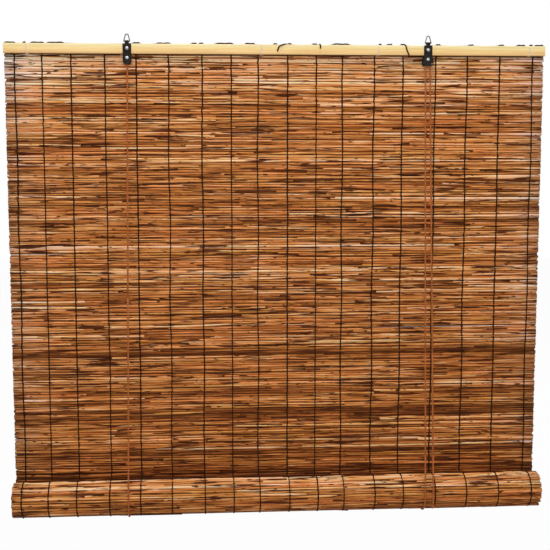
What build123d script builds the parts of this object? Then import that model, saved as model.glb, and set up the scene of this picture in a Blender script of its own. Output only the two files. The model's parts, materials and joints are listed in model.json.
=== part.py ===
from build123d import *
import math
import os

os.makedirs("parts", exist_ok=True)

# The frame: X runs along the rail, Y to the back and Z up.
# The origin is midway between the hanging rings, where two hooks carry them.

# Driving sizes of the blind, in millimetres.
blind_width = 900
hang_spacing = 500
rail_height = 16.6
rail_thick = 6
reed_thick = 4
reed_valley = 1.3
roll_radius = 31
roll_drop = 758.5
reed_rows = 180
half_turns = 10

# Clearances that every fit below is taken from.
fit_gap = 0.3
running_gap = 0.05
turn_gap = 0.4
cord_gap = 0.2

# Threads, cord and sheet steel.
thread_wide = 2
thread_thick = 0.4
top_thread_radius = 0.7
tie_wide = 1.6
tie_thick = 0.6
cord_radius = 1.4
steel = 1.2
wall = 0.8

# Hand-chosen places along the width, as shares of the half width.
thread_shares = (
    -0.962, -0.864, -0.760, -0.638, -0.524, -0.407, -0.284, -0.176, -0.078,
    0.033, 0.140, 0.238, 0.356, 0.464, 0.587, 0.707, 0.831, 0.958,
)
tie_shares = (-0.916, -0.064, 0.369, 0.940)
reed_shares = (1.0, 0.84, 0.93, 0.76, 0.98, 0.88, 1.0, 0.80, 0.95)
ridge_shares = ((0.28, 1.0), (0.72, 1.0), (1.0, 0.0))
gap_place_shares = (-0.82, 0.31, -0.18, 0.66, -0.45, 0.08, 0.90, -0.58, 0.47, -0.02, 0.76)
gap_length_shares = (0.09, 0.16, 0.06, 0.21, 0.11)
gap_row_step = 2
first_gap_row = 6
last_gap_row = 12

# Hanging rings and the rolled eyes that hold them: the rings' inner tops are at the origin's height.
ring_wire = 0.9
ring_wide = 10.6
ring_sharp = 19
ring_round = 2.5
ring_corner = 1.2
eye_wide = 6.8
eye_bore = ring_wire + fit_gap
eye_outer = eye_bore + steel
eye_lift = eye_outer + 2 * fit_gap
ring_lean = math.atan2(ring_wide / 2, ring_sharp)
ring_apex = ring_sharp + ring_round - ring_round / math.sin(ring_lean)

# Heights that follow from these.
rail_top = -(ring_apex - ring_wire + eye_lift)
rail_foot = rail_top - rail_height
mat_top = rail_top - turn_gap - fit_gap
roll_z = rail_top - roll_drop
row_pitch = (mat_top - roll_z) / reed_rows

# Depths: how far in front of the rings' plane a face lies, so its y is minus that.
strap_front = eye_outer
rail_front = strap_front - steel
rail_back = rail_front - rail_thick
crest = reed_thick / 2
valley = reed_valley / 2
thread_face = crest + fit_gap
mat_y = thread_face + thread_thick + fit_gap - rail_back
roll_y = mat_y + crest - roll_radius
turn_pitch = reed_thick + turn_gap

# Hangers: a strap on the rail's face, a rolled eye above it and a housing below it.
hang_x = hang_spacing / 2
strap_wide = 14
bell_wide = 19
eye_z = rail_top + eye_lift
screw_drop = 7.5
axle_drop = 23
housing_foot = 33.5
bell_shoulder = 28
strap_round = 5.5
bell_round = 3
housing_top = rail_foot - fit_gap
housing_low = rail_top - housing_foot
housing_back = rail_back
axle_z = rail_top - axle_drop
axle_radius = 1.5
axle_head = 2.4
axle_head_high = 0.9
axle_dome = 3.7
cord_y = -(rail_front + housing_back + wall) / 2

# Pulley wheel, cord sleeve and lock roller.
wheel_wide = rail_front - housing_back - wall - 2 * fit_gap
wheel_radius = 5.4
groove_radius = 2.3
groove_wide = 2 * cord_radius + fit_gap
groove_flare = 0.45
wheel_turn = groove_radius + cord_radius + cord_gap
sleeve_radius = 2.6
sleeve_turn = sleeve_radius + cord_radius + cord_gap
knot_radius = 2.2
roller_radius = 1.3
roller_root = 1.05
roller_teeth = 12
roller_pin = 0.7
roller_tooth = 0.3
roller_drop = 7
slot_travel = 1
slot_angle = -66

# Screws, eyes on the back and the cord's run.
screw_radius = 1.25
screw_head = 2.5
screw_head_high = 1.6
screw_length = 5
screw_dome = 2.8
back_eye_drop = 12.5
back_eye_major = 3
back_eye_wire = 0.9
back_eye_set = 5.5
back_eye_bite = 4
cord_bend = 4
cord_lead = 8
left_lean = 6
pull_lean = 10
left_strand_x = -hang_x - left_lean
right_strand_x = hang_x - wheel_turn
pull_strand_x = hang_x + pull_lean
pull_hang = 20
pull_knot = 2.4
bight_radius = roll_radius + turn_gap + cord_radius
back_eye_y = mat_y + crest + 2 * fit_gap + back_eye_major + back_eye_wire
back_eye_z = rail_top - back_eye_drop
edge_round = 1.5

thread_places = [share * blind_width / 2 for share in thread_shares]
tie_places = [share * blind_width / 2 for share in tie_shares]
back_eye_places = (left_strand_x + back_eye_set, right_strand_x - back_eye_set)


def tangent_angle(y, z):
    """Angle on the roll's cord circle where a straight cord from (y, z) meets its front."""
    run = math.hypot(y - roll_y, z - roll_z)
    toward = math.atan2(z - roll_z, y - roll_y)
    return math.degrees(toward + math.acos(bight_radius / run))


def on_cord_circle(x, angle):
    """Point of the cord's circle round the roll, at a place along the width."""
    turn = math.radians(angle)
    return (x, roll_y + bight_radius * math.cos(turn), roll_z + bight_radius * math.sin(turn))


def along(start, end, distance):
    """Point at a distance from start on the straight line to end."""
    step = (Vector(*end) - Vector(*start)).normalized()
    return Vector(*start) + step * distance


def line_plane(start, end):
    """Plane at start that looks towards end."""
    return Plane(Vector(*start), z_dir=Vector(*end) - Vector(*start))


def line_length(start, end):
    return (Vector(*end) - Vector(*start)).length


# Head rail: a split bamboo slat, with holes for the strap screws and the eyes on its back.
with BuildPart() as head_rail:
    with BuildSketch(Plane.YZ.offset(-blind_width / 2)):
        with Locations((-(rail_front + rail_back) / 2, rail_top - rail_height / 2)):
            RectangleRounded(rail_thick, rail_height, edge_round)
    extrude(amount=blind_width)
    with BuildSketch(Plane.XZ.offset(rail_front)):
        with Locations((-hang_x, rail_top - screw_drop), (hang_x, rail_top - screw_drop)):
            Circle(screw_radius + running_gap)
    extrude(amount=-screw_length - fit_gap, mode=Mode.SUBTRACT)
    with BuildSketch(Plane.XZ.offset(rail_back)):
        with Locations(*[(x, back_eye_z) for x in back_eye_places]):
            Circle(back_eye_wire + running_gap)
    extrude(amount=back_eye_bite + fit_gap, mode=Mode.SUBTRACT)
head_rail.part.label = "head_rail"
export_step(head_rail.part, "parts/head_rail.step")

# Reed mat: one wall whose both faces are rows of faceted reed ridges, with slits of daylight between reeds.
front_face = [(mat_y - valley, mat_top)]
back_face = [(mat_y + valley, mat_top)]
for row in range(reed_rows):
    top = mat_top - row * row_pitch
    rise = crest * reed_shares[row % len(reed_shares)] - valley
    for drop_share, rise_share in ridge_shares:
        front_face.append((mat_y - valley - rise_share * rise, top - drop_share * row_pitch))
        back_face.append((mat_y + valley + rise_share * rise, top - drop_share * row_pitch))
slit_rows = range(first_gap_row, reed_rows - last_gap_row, gap_row_step)
with BuildPart() as reed_mat:
    with BuildSketch(Plane.YZ.offset(-blind_width / 2)):
        with BuildLine():
            Polyline(*front_face, *reversed(back_face), close=True)
        make_face()
    extrude(amount=blind_width)
    with BuildSketch(Plane.XZ.offset(-mat_y)):
        for count, row in enumerate(slit_rows):
            share = gap_place_shares[count % len(gap_place_shares)]
            length = blind_width / 2 * gap_length_shares[count % len(gap_length_shares)]
            with Locations((share * blind_width / 2, mat_top - row * row_pitch)):
                Rectangle(length, reed_valley)
        with Locations(*[(x, back_eye_z) for x in back_eye_places]):
            Circle(back_eye_wire + fit_gap)
        with Locations(*[(x, rail_foot - fit_gap - tie_thick / 2) for x in tie_places]):
            Rectangle(tie_wide + 2 * fit_gap, tie_thick + 2 * fit_gap)
    extrude(amount=reed_thick, both=True, mode=Mode.SUBTRACT)
reed_mat.part.label = "reed_mat"
export_step(reed_mat.part, "parts/reed_mat.step")

# Mat threads: each is a loop over the mat's top that runs down its front and its back.
loop_top = rail_top + tie_thick + 4 * fit_gap + 2 * top_thread_radius
front_end = roll_z + 3 * reed_thick
with BuildPart() as mat_threads:
    for x in thread_places:
        with BuildSketch(Plane.YZ.offset(x - thread_wide / 2)):
            with BuildLine():
                Polyline(
                    (mat_y - thread_face, front_end),
                    (mat_y - thread_face, loop_top),
                    (mat_y + thread_face, loop_top),
                    (mat_y + thread_face, roll_z),
                    (mat_y + thread_face + thread_thick, roll_z),
                    (mat_y + thread_face + thread_thick, loop_top + thread_thick),
                    (mat_y - thread_face - thread_thick, loop_top + thread_thick),
                    (mat_y - thread_face - thread_thick, front_end),
                    close=True,
                )
            make_face()
        extrude(amount=thread_wide)
mat_threads.part.label = "mat_threads"
export_step(mat_threads.part, "parts/mat_threads.step")

# Top thread: the dark lashing that the loops hold along the rail's upper edge.
top_thread_z = rail_top + tie_thick + 2 * fit_gap + top_thread_radius
with BuildPart() as top_thread:
    with BuildSketch(Plane.YZ.offset(-blind_width / 2)):
        with Locations((mat_y - crest / 2, top_thread_z)):
            Circle(top_thread_radius)
    extrude(amount=blind_width)
top_thread.part.label = "top_thread"
export_step(top_thread.part, "parts/top_thread.step")

# Rail ties: pale loops round the rail and through the mat below it.
tie_front = rail_front + fit_gap
tie_back = mat_y + thread_face
tie_depth = tie_front + tie_back
tie_high = rail_height + 2 * fit_gap
tie_y = (tie_back - tie_front) / 2
tie_z = (rail_top + rail_foot) / 2
with BuildPart() as rail_ties:
    for x in tie_places:
        with BuildSketch(Plane.YZ.offset(x - tie_wide / 2)):
            with Locations((tie_y, tie_z)):
                Rectangle(tie_depth + 2 * tie_thick, tie_high + 2 * tie_thick)
                Rectangle(tie_depth, tie_high, mode=Mode.SUBTRACT)
        extrude(amount=tie_wide)
rail_ties.part.label = "rail_ties"
export_step(rail_ties.part, "parts/rail_ties.step")

# Mat roll: the rolled-up end, a spiral of half circles on two centres, its outer turn ridged.
ridges_per_half = round(math.pi * roll_radius / row_pitch)
with BuildPart() as mat_roll:
    with BuildSketch(Plane.YZ.offset(-blind_width / 2)):
        for half in range(half_turns):
            outer = roll_radius - half * turn_pitch / 2
            inner = outer - reed_thick
            upper = half % 2
            middle_y = roll_y - upper * turn_pitch / 2
            first = math.pi * (2 - upper)
            with BuildLine():
                start = (middle_y + outer * math.cos(first), roll_z)
                stop = (middle_y - outer * math.cos(first), roll_z)
                if half < 2:
                    step = math.pi / ridges_per_half
                    low = outer - crest + valley
                    edge = [(middle_y + low * math.cos(first), roll_z)]
                    for ridge in range(ridges_per_half):
                        rise = (outer - low) * reed_shares[ridge % len(reed_shares)]
                        for turn_share, rise_share in ridge_shares:
                            turn = first - (ridge + turn_share) * step
                            reach = low + rise_share * rise
                            edge.append((middle_y + reach * math.cos(turn), roll_z + reach * math.sin(turn)))
                    Polyline(*edge)
                    start = edge[0]
                    stop = edge[-1]
                else:
                    CenterArc((middle_y, roll_z), outer, 180 * (1 - upper), 180)
                CenterArc((middle_y, roll_z), inner, 180 * (1 - upper), 180)
                Line(start, (middle_y + inner * math.cos(first), roll_z))
                Line(stop, (middle_y - inner * math.cos(first), roll_z))
            make_face()
    extrude(amount=blind_width)
mat_roll.part.label = "mat_roll"
export_step(mat_roll.part, "parts/mat_roll.step")

# Roll threads: the same threads carried round the outer turn until it meets the mat.
thread_tuck = 28
with BuildPart() as roll_threads:
    for x in thread_places:
        with BuildSketch(Plane.YZ.offset(x - thread_wide / 2)):
            for upper in (0, 1):
                middle_y = roll_y - upper * turn_pitch / 2
                low = roll_radius - upper * turn_pitch / 2 + fit_gap
                high = low + thread_thick
                begin = thread_tuck if upper else 180
                size = 180 - begin if upper else 180
                with BuildLine():
                    outer_arc = CenterArc((middle_y, roll_z), high, begin, size)
                    inner_arc = CenterArc((middle_y, roll_z), low, begin, size)
                    Line(outer_arc @ 0, inner_arc @ 0)
                    Line(outer_arc @ 1, inner_arc @ 1)
                make_face()
        extrude(amount=thread_wide)
roll_threads.part.label = "roll_threads"
export_step(roll_threads.part, "parts/roll_threads.step")

# Left hanger: strap, rolled eye and a plain housing that is open above and below.
housing_deep = strap_front - housing_back
inner_deep = rail_front - housing_back - wall
with BuildPart() as hanger_left:
    with BuildSketch(Plane.XZ.offset(rail_front)):
        with Locations((-hang_x, (rail_top + housing_low) / 2)):
            RectangleRounded(strap_wide, rail_top - housing_low, strap_round)
        with Locations((-hang_x, rail_top - strap_round)):
            Rectangle(strap_wide, 2 * strap_round)
        with Locations((-hang_x, (rail_top + eye_z) / 2)):
            Rectangle(eye_wide, eye_z - rail_top)
    extrude(amount=steel)
    with BuildSketch(Plane.XZ.offset(housing_back)):
        with Locations((-hang_x, (housing_top + housing_low) / 2)):
            RectangleRounded(strap_wide, housing_top - housing_low, strap_round)
        with Locations((-hang_x, housing_top - strap_round)):
            Rectangle(strap_wide, 2 * strap_round)
    extrude(amount=housing_deep)
    with BuildSketch(Plane.XZ.offset(housing_back + wall)):
        with Locations((-hang_x, (housing_top + housing_low) / 2)):
            Rectangle(strap_wide - 2 * wall, 2 * (housing_top - housing_low))
    extrude(amount=inner_deep, mode=Mode.SUBTRACT)
    with BuildSketch(Plane.YZ.offset(-hang_x - eye_wide / 2)):
        with Locations((0, eye_z)):
            Circle(eye_outer)
    extrude(amount=eye_wide)
    with BuildSketch(Plane.YZ.offset(-hang_x - eye_wide / 2)):
        with Locations((0, eye_z)):
            Circle(eye_bore)
    extrude(amount=eye_wide, mode=Mode.SUBTRACT)
    with BuildSketch(Plane.XZ.offset(housing_back)):
        with Locations((-hang_x, rail_top - screw_drop)):
            Circle(screw_radius + running_gap)
        with Locations((-hang_x, axle_z)):
            Circle(axle_radius + running_gap)
    extrude(amount=housing_deep, mode=Mode.SUBTRACT)
hanger_left.part.label = "hanger_left"
export_step(hanger_left.part, "parts/hanger_left.step")

# Right hanger: the same strap above a bell-shaped housing with two slots for the lock roller.
bell = (
    (hang_x - strap_wide / 2, housing_top),
    (hang_x + strap_wide / 2, housing_top),
    (hang_x + bell_wide / 2, rail_top - bell_shoulder),
    (hang_x + bell_wide / 2, housing_low),
    (hang_x - bell_wide / 2, housing_low),
    (hang_x - bell_wide / 2, rail_top - bell_shoulder),
)
hollow = (
    (hang_x - strap_wide / 2 + wall, housing_top),
    (hang_x + strap_wide / 2 - wall, housing_top),
    (hang_x + bell_wide / 2 - wall, rail_top - bell_shoulder),
    (hang_x + bell_wide / 2 - wall, housing_low),
    (hang_x - bell_wide / 2 + wall, housing_low),
    (hang_x - bell_wide / 2 + wall, rail_top - bell_shoulder),
)
roller_x = hang_x + wheel_turn + cord_radius + running_gap + roller_radius
roller_z = axle_z - roller_drop
slot_x = math.cos(math.radians(slot_angle))
slot_z = math.sin(math.radians(slot_angle))
slot_middle = (roller_x + slot_travel / 2 * slot_x, roller_z + slot_travel / 2 * slot_z)
with BuildPart() as hanger_right:
    with BuildSketch(Plane.XZ.offset(rail_front)):
        with Locations((hang_x, (rail_top + housing_top) / 2)):
            Rectangle(strap_wide, rail_top - housing_top)
        with Locations((hang_x, (rail_top + eye_z) / 2)):
            Rectangle(eye_wide, eye_z - rail_top)
    extrude(amount=steel)
    with BuildSketch(Plane.XZ.offset(housing_back)):
        with BuildLine():
            Polyline(*bell, close=True)
        make_face()
        fillet(vertices().sort_by(Axis.Y)[:2], bell_round)
    extrude(amount=housing_deep)
    with BuildSketch(Plane.XZ.offset(housing_back + wall)):
        with BuildLine():
            Polyline(*hollow, close=True)
        make_face()
    extrude(amount=inner_deep, mode=Mode.SUBTRACT)
    with BuildSketch(Plane.YZ.offset(hang_x - eye_wide / 2)):
        with Locations((0, eye_z)):
            Circle(eye_outer)
    extrude(amount=eye_wide)
    with BuildSketch(Plane.YZ.offset(hang_x - eye_wide / 2)):
        with Locations((0, eye_z)):
            Circle(eye_bore)
    extrude(amount=eye_wide, mode=Mode.SUBTRACT)
    with BuildSketch(Plane.XZ.offset(housing_back)):
        with Locations((hang_x, rail_top - screw_drop)):
            Circle(screw_radius + running_gap)
        with Locations((hang_x, axle_z)):
            Circle(axle_radius + running_gap)
        with Locations(Location((*slot_middle, 0), (0, 0, slot_angle))):
            SlotCenterToCenter(slot_travel, 2 * (roller_pin + running_gap))
    extrude(amount=housing_deep, mode=Mode.SUBTRACT)
hanger_right.part.label = "hanger_right"
export_step(hanger_right.part, "parts/hanger_right.step")

# Hanging rings: bent wire triangles that swing in the rolled eyes.
ring_points = (
    (-ring_wide / 2, 0),
    (ring_wide / 2, 0),
    (0, ring_sharp),
)
ring_radii = (ring_corner, ring_corner, ring_round)
with BuildPart() as ring_left:
    with BuildLine(Plane((-hang_x, 0, eye_z), x_dir=(1, 0, 0), z_dir=(0, -1, 0))):
        left_wire = FilletPolyline(*ring_points, radius=ring_radii, close=True)
    with BuildSketch(Plane(left_wire @ 0, z_dir=left_wire % 0)):
        Circle(ring_wire)
    sweep()
ring_left.part.label = "ring_left"
export_step(ring_left.part, "parts/ring_left.step")

with BuildPart() as ring_right:
    with BuildLine(Plane((hang_x, 0, eye_z), x_dir=(1, 0, 0), z_dir=(0, -1, 0))):
        right_wire = FilletPolyline(*ring_points, radius=ring_radii, close=True)
    with BuildSketch(Plane(right_wire @ 0, z_dir=right_wire % 0)):
        Circle(ring_wire)
    sweep()
ring_right.part.label = "ring_right"
export_step(ring_right.part, "parts/ring_right.step")

# Rail screws: domed heads on the straps, shanks in the rail.
with BuildPart() as rail_screws:
    for x in (-hang_x, hang_x):
        with BuildSketch(Plane.YZ.offset(x)):
            with BuildLine():
                head_face = -strap_front
                head_top = (head_face - screw_head_high, rail_top - screw_drop)
                head_rim = (head_face, rail_top - screw_drop + screw_head)
                RadiusArc(head_top, head_rim, -screw_dome)
                Polyline(
                    head_rim,
                    (head_face, rail_top - screw_drop + screw_radius),
                    (screw_length - rail_front, rail_top - screw_drop + screw_radius),
                    (screw_length - rail_front, rail_top - screw_drop),
                    head_top,
                )
            make_face()
        revolve(axis=Axis((x, 0, rail_top - screw_drop), (0, 1, 0)))
rail_screws.part.label = "rail_screws"
export_step(rail_screws.part, "parts/rail_screws.step")

# Axle rivets: a bright domed head in front, the shank flush with the housing's back.
with BuildPart() as axle_rivets:
    for x in (-hang_x, hang_x):
        with BuildSketch(Plane.YZ.offset(x)):
            with BuildLine():
                head_top = (-strap_front - axle_head_high, axle_z)
                head_rim = (-strap_front, axle_z + axle_head)
                RadiusArc(head_top, head_rim, -axle_dome)
                Polyline(
                    head_rim,
                    (-strap_front, axle_z + axle_radius),
                    (-housing_back, axle_z + axle_radius),
                    (-housing_back, axle_z),
                    head_top,
                )
            make_face()
        revolve(axis=Axis((x, 0, axle_z), (0, 1, 0)))
axle_rivets.part.label = "axle_rivets"
export_step(axle_rivets.part, "parts/axle_rivets.step")

# Cord sleeve: the plain bush in the left housing that holds the cord's dead end.
with BuildPart() as cord_sleeve:
    with BuildSketch(Plane.XZ.offset(-cord_y - wheel_wide / 2)):
        with Locations((-hang_x, axle_z)):
            Circle(sleeve_radius)
            Circle(axle_radius + running_gap, mode=Mode.SUBTRACT)
    extrude(amount=wheel_wide)
cord_sleeve.part.label = "cord_sleeve"
export_step(cord_sleeve.part, "parts/cord_sleeve.step")

# Pulley wheel: a grooved wheel that turns on the right rivet.
with BuildPart() as pulley_wheel:
    with BuildSketch(Plane.YZ.offset(hang_x)):
        with BuildLine():
            rim_high = axle_z + wheel_radius
            groove_high = axle_z + groove_radius
            Polyline(
                (cord_y - groove_wide / 2 - groove_flare, rim_high),
                (cord_y - wheel_wide / 2, rim_high),
                (cord_y - wheel_wide / 2, axle_z + axle_radius + running_gap),
                (cord_y + wheel_wide / 2, axle_z + axle_radius + running_gap),
                (cord_y + wheel_wide / 2, rim_high),
                (cord_y + groove_wide / 2 + groove_flare, rim_high),
                (cord_y + groove_wide / 2, groove_high + groove_wide / 2),
            )
            ThreePointArc(
                (cord_y + groove_wide / 2, groove_high + groove_wide / 2),
                (cord_y, groove_high),
                (cord_y - groove_wide / 2, groove_high + groove_wide / 2),
            )
            Line(
                (cord_y - groove_wide / 2, groove_high + groove_wide / 2),
                (cord_y - groove_wide / 2 - groove_flare, rim_high),
            )
        make_face()
    revolve(axis=Axis((hang_x, 0, axle_z), (0, 1, 0)))
pulley_wheel.part.label = "pulley_wheel"
export_step(pulley_wheel.part, "parts/pulley_wheel.step")

# Lock roller: toothed, it jams between the bell's flare and the pull strand.
with BuildPart() as lock_roller:
    with BuildSketch(Plane.XZ.offset(-cord_y - wheel_wide / 2)):
        with Locations((roller_x, roller_z)):
            Circle(roller_root)
            with PolarLocations(0, roller_teeth):
                Rectangle(2 * roller_radius, roller_tooth)
    extrude(amount=wheel_wide)
    with BuildSketch(Plane.XZ.offset(housing_back)):
        with Locations((roller_x, roller_z)):
            Circle(roller_pin)
    extrude(amount=housing_deep)
lock_roller.part.label = "lock_roller"
export_step(lock_roller.part, "parts/lock_roller.step")

# Back eyes: screw eyes behind the rail that turn the cord from its rise to the cross run.
with BuildPart() as back_eyes:
    for x in back_eye_places:
        with Locations((x, back_eye_y, back_eye_z)):
            Torus(back_eye_major, back_eye_wire, rotation=(0, 90, 0))
        with BuildSketch(Plane.XZ.offset(back_eye_major - back_eye_y)):
            with Locations((x, back_eye_z)):
                Circle(back_eye_wire)
        extrude(amount=rail_back + back_eye_bite - back_eye_major + back_eye_y)
back_eyes.part.label = "back_eyes"
export_step(back_eyes.part, "parts/back_eyes.step")

# The lift cord in one round, from its dead end at the left hanger to the pull strand.
left_start = (-hang_x, cord_y, axle_z - sleeve_turn - 2 * knot_radius)
left_angle = tangent_angle(left_start[1], left_start[2])
left_front_end = on_cord_circle(left_strand_x, left_angle)
left_tail = along(left_start, left_front_end, cord_lead)
with BuildPart() as cord_dead_end:
    with Locations((-hang_x, cord_y, axle_z)):
        Torus(sleeve_turn, cord_radius, rotation=(90, 0, 0))
    with Locations((-hang_x, cord_y, axle_z - sleeve_turn - knot_radius)):
        Sphere(knot_radius)
    with BuildSketch(line_plane(left_start, left_front_end)):
        Circle(cord_radius)
    extrude(amount=cord_lead - cord_gap)
    with BuildSketch(line_plane(left_start, left_front_end)):
        Circle(cord_radius)
    extrude(amount=-knot_radius)
cord_dead_end.part.label = "cord_dead_end"
export_step(cord_dead_end.part, "parts/cord_dead_end.step")

with BuildPart() as cord_left_front:
    with BuildSketch(line_plane(left_tail, left_front_end)):
        Circle(cord_radius)
    extrude(amount=line_length(left_tail, left_front_end) - cord_gap)
cord_left_front.part.label = "cord_left_front"
export_step(cord_left_front.part, "parts/cord_left_front.step")

with BuildPart() as cord_left_bight:
    with BuildLine(Plane.YZ.offset(left_strand_x)):
        left_arc = CenterArc((roll_y, roll_z), bight_radius, left_angle, 360 - left_angle)
    with BuildSketch(Plane(left_arc @ 0, z_dir=left_arc % 0)):
        Circle(cord_radius)
    sweep()
cord_left_bight.part.label = "cord_left_bight"
export_step(cord_left_bight.part, "parts/cord_left_bight.step")

left_back_start = (left_strand_x, roll_y + bight_radius, roll_z + cord_gap)
left_back_end = (left_strand_x, back_eye_y, back_eye_z - cord_lead - cord_gap)
with BuildPart() as cord_left_back:
    with BuildSketch(line_plane(left_back_start, left_back_end)):
        Circle(cord_radius)
    extrude(amount=line_length(left_back_start, left_back_end))
cord_left_back.part.label = "cord_left_back"
export_step(cord_left_back.part, "parts/cord_left_back.step")

with BuildPart() as cord_cross:
    with BuildLine(Plane((0, back_eye_y, back_eye_z), x_dir=(1, 0, 0), z_dir=(0, -1, 0))):
        cross_path = FilletPolyline(
            (left_strand_x, -cord_lead),
            (left_strand_x, 0),
            (right_strand_x, 0),
            (right_strand_x, -cord_lead),
            radius=cord_bend,
        )
    with BuildSketch(Plane(cross_path @ 0, z_dir=cross_path % 0)):
        Circle(cord_radius)
    sweep()
cord_cross.part.label = "cord_cross"
export_step(cord_cross.part, "parts/cord_cross.step")

right_back_start = (right_strand_x, roll_y + bight_radius, roll_z + cord_gap)
right_back_end = (right_strand_x, back_eye_y, back_eye_z - cord_lead - cord_gap)
with BuildPart() as cord_right_back:
    with BuildSketch(line_plane(right_back_start, right_back_end)):
        Circle(cord_radius)
    extrude(amount=line_length(right_back_start, right_back_end))
cord_right_back.part.label = "cord_right_back"
export_step(cord_right_back.part, "parts/cord_right_back.step")

right_angle = tangent_angle(cord_y, axle_z)
with BuildPart() as cord_right_bight:
    with BuildLine(Plane.YZ.offset(right_strand_x)):
        right_arc = CenterArc((roll_y, roll_z), bight_radius, right_angle, 360 - right_angle)
    with BuildSketch(Plane(right_arc @ 0, z_dir=right_arc % 0)):
        Circle(cord_radius)
    sweep()
cord_right_bight.part.label = "cord_right_bight"
export_step(cord_right_bight.part, "parts/cord_right_bight.step")

right_top = (right_strand_x, cord_y, axle_z)
right_front_end = on_cord_circle(right_strand_x, right_angle)
right_front_start = along(right_top, right_front_end, cord_gap)
with BuildPart() as cord_right_front:
    with BuildSketch(line_plane(right_front_start, right_front_end)):
        Circle(cord_radius)
    extrude(amount=line_length(right_front_start, right_front_end) - cord_gap)
cord_right_front.part.label = "cord_right_front"
export_step(cord_right_front.part, "parts/cord_right_front.step")

with BuildPart() as cord_wheel_turn:
    with BuildLine(Plane.XZ.offset(-cord_y)):
        wheel_arc = CenterArc((hang_x, axle_z), wheel_turn, 0, 180)
    with BuildSketch(Plane(wheel_arc @ 0, z_dir=wheel_arc % 0)):
        Circle(cord_radius)
    sweep()
cord_wheel_turn.part.label = "cord_wheel_turn"
export_step(cord_wheel_turn.part, "parts/cord_wheel_turn.step")

pull_top = (hang_x + wheel_turn, cord_y, axle_z)
pull_front_end = on_cord_circle(pull_strand_x, right_angle)
pull_start = along(pull_top, pull_front_end, cord_gap)
with BuildPart() as pull_cord:
    with BuildSketch(line_plane(pull_start, pull_front_end)):
        Circle(cord_radius)
    extrude(amount=line_length(pull_start, pull_front_end) - cord_gap)
pull_cord.part.label = "pull_cord"
export_step(pull_cord.part, "parts/pull_cord.step")

# The pull strand's end lies over the roll's front and hangs to a knot.
with BuildPart() as pull_end:
    with BuildLine(Plane.YZ.offset(pull_strand_x)):
        pull_arc = CenterArc((roll_y, roll_z), bight_radius, right_angle, 180 - right_angle)
        Line((roll_y - bight_radius, roll_z), (roll_y - bight_radius, roll_z - pull_hang))
    with BuildSketch(Plane(pull_arc @ 0, z_dir=pull_arc % 0)):
        Circle(cord_radius)
    sweep()
    with Locations((pull_strand_x, roll_y - bight_radius, roll_z - pull_hang)):
        Sphere(pull_knot)
pull_end.part.label = "pull_end"
export_step(pull_end.part, "parts/pull_end.step")

print("cord radii: wheel", wheel_turn, "roll", bight_radius, "back eyes", cord_bend)
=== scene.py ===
import itertools
import json
import math
import random

import bpy
import numpy as np
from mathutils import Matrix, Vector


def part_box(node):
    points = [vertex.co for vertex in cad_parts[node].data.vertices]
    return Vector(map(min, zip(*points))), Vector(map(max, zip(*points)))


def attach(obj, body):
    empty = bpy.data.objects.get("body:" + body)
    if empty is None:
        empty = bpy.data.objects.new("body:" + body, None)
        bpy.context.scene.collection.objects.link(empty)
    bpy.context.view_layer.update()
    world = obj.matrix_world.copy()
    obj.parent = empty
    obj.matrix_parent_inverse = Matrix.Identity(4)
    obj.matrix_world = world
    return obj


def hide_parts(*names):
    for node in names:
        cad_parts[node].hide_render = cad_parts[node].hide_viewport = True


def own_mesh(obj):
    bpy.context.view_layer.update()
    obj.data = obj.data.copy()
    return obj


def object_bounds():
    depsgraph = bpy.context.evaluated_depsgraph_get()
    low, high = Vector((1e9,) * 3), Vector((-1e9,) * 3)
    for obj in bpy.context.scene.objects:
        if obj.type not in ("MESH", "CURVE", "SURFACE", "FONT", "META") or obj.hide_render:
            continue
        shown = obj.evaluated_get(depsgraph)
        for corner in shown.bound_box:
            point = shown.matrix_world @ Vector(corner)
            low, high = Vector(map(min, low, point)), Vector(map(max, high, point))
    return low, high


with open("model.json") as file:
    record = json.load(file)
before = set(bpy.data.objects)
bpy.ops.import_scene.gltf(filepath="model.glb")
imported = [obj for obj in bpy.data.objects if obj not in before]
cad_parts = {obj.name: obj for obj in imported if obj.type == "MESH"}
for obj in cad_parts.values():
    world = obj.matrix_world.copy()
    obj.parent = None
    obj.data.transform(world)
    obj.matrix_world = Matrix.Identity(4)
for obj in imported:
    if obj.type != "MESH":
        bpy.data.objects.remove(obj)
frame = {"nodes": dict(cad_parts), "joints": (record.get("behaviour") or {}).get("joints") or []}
cad_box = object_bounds()
nodes = frame["nodes"]

# Head rail: a split slat of pale bamboo with rounded edges, cut to the blind's width.
# Its solid has the real shape, so it only gets its finish: long fibres and faint stains,
# with a painted highlight that makes it paler towards the upper edge and painted shade at its lower edge.
rail_low, rail_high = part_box("head_rail")
mix_factor, mix_first, mix_second = 0, 6, 7
mix_result = 2


def add_node(tree, kind, **values):
    """A shader node with its properties and input values set by name."""
    made = tree.nodes.new(kind)
    for name, value in values.items():
        if name in made.inputs:
            made.inputs[name].default_value = value
        else:
            setattr(made, name, value)
    return made


def feed(tree, socket, value):
    """Links a socket to another one, or sets it to a plain number or colour."""
    if isinstance(value, (int, float)):
        socket.default_value = value
    elif isinstance(value, tuple):
        socket.default_value = (*value, 1)
    else:
        tree.links.new(value, socket)


def add_ramp(tree, factor, stops):
    """A colour ramp over a factor, from (position, colour) pairs."""
    ramp = tree.nodes.new("ShaderNodeValToRGB")
    elements = ramp.color_ramp.elements
    while len(elements) < len(stops):
        elements.new(0.5)
    for element, (position, colour) in zip(elements, stops):
        element.position = position
        element.color = (*colour, 1)
    tree.links.new(factor, ramp.inputs["Fac"])
    return ramp.outputs["Color"]


def add_math(tree, operation, first, second=None):
    """A math node on sockets or plain numbers."""
    made = add_node(tree, "ShaderNodeMath", operation=operation)
    feed(tree, made.inputs[0], first)
    if second is not None:
        feed(tree, made.inputs[1], second)
    return made.outputs["Value"]


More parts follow.
